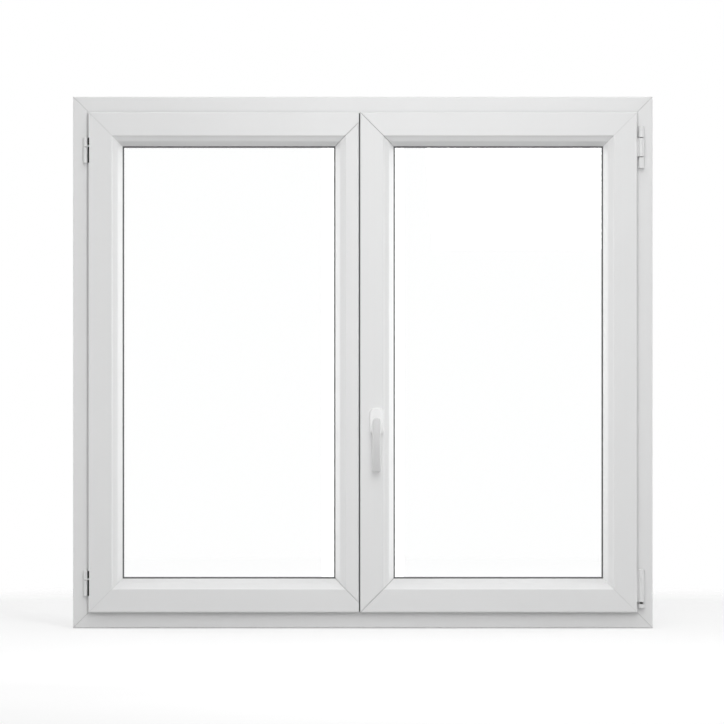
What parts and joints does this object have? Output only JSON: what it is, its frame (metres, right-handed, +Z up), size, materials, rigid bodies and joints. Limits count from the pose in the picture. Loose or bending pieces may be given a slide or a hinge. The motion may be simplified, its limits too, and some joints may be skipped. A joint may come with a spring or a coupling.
{
  "type": "tilt and turn window",
  "caption": "White plastic double-glazed window: a plain turning leaf beside a tilt and turn leaf with a lever handle.",
  "frame": {"origin": "middle of the frame's underside, half way through the frame's depth", "axes": "+X across the window to the right seen from the room, +Y from the room to the outdoors, +Z up"},
  "size_m": [1.2, 0.137, 1.1],
  "materials": {
    "white_profile": "satin white extruded plastic",
    "white_cap": "white moulded plastic",
    "white_handle": "white powder coat",
    "white_hinge": "white coated hinge covers",
    "clear_glass": "clear float glass",
    "spacer_metal": "mill finish spacer bar",
    "glazing_rubber": "dark grey glazing gasket",
    "seal_rubber": "dark grey weather seal",
    "black_plastic": "black hinge pads"
  },
  "bodies": {
    "window": {"astragal": "white_profile", "astragal_end_caps": "white_cap", "drain_caps": "white_cap", "frame_head": "white_profile", "frame_left_jamb": "white_profile", "frame_right_jamb": "white_profile", "frame_sill": "white_profile", "handle_rose": "white_handle", "left_bead_bottom": "white_profile", "left_bead_gasket": "glazing_rubber", "left_bead_left": "white_profile", "left_bead_right": "white_profile", "left_bead_top": "white_profile", "left_hinge_pads": "black_plastic", "left_leg_gasket": "glazing_rubber", "left_lip_seal": "seal_rubber", "left_lower_hinge_frame_part": "white_hinge", "left_lower_hinge_sash_part": "white_hinge", "left_panes": "clear_glass", "left_sash_bottom_rail": "white_profile", "left_sash_hinge_stile": "white_profile", "left_sash_meeting_stile": "white_profile", "left_sash_top_rail": "white_profile", "left_spacer": "spacer_metal", "left_upper_hinge_frame_part": "white_hinge", "left_upper_hinge_sash_part": "white_hinge", "right_bead_bottom": "white_profile", "right_bead_gasket": "glazing_rubber", "right_bead_left": "white_profile", "right_bead_right": "white_profile", "right_bead_top": "white_profile", "right_leg_gasket": "glazing_rubber", "right_lip_seal": "seal_rubber", "right_lower_hinge_frame_part": "white_hinge", "right_lower_hinge_sash_part": "white_hinge", "right_panes": "clear_glass", "right_sash_bottom_rail": "white_profile", "right_sash_hinge_stile": "white_profile", "right_sash_meeting_stile": "white_profile", "right_sash_top_rail": "white_profile", "right_spacer": "spacer_metal", "right_upper_hinge_frame_part": "white_hinge", "right_upper_hinge_sash_part": "white_hinge", "stop_seal": "seal_rubber"},
    "handle": {"handle_lever": "white_handle"}
  },
  "joints": [
    {"name": "handle_turn", "type": "hinge", "parent": "window", "child": "handle", "pos_m": [0.0285, -0.059, 0.428], "axis": [0, -1, 0], "range_deg": [0, 180]}
  ]
}
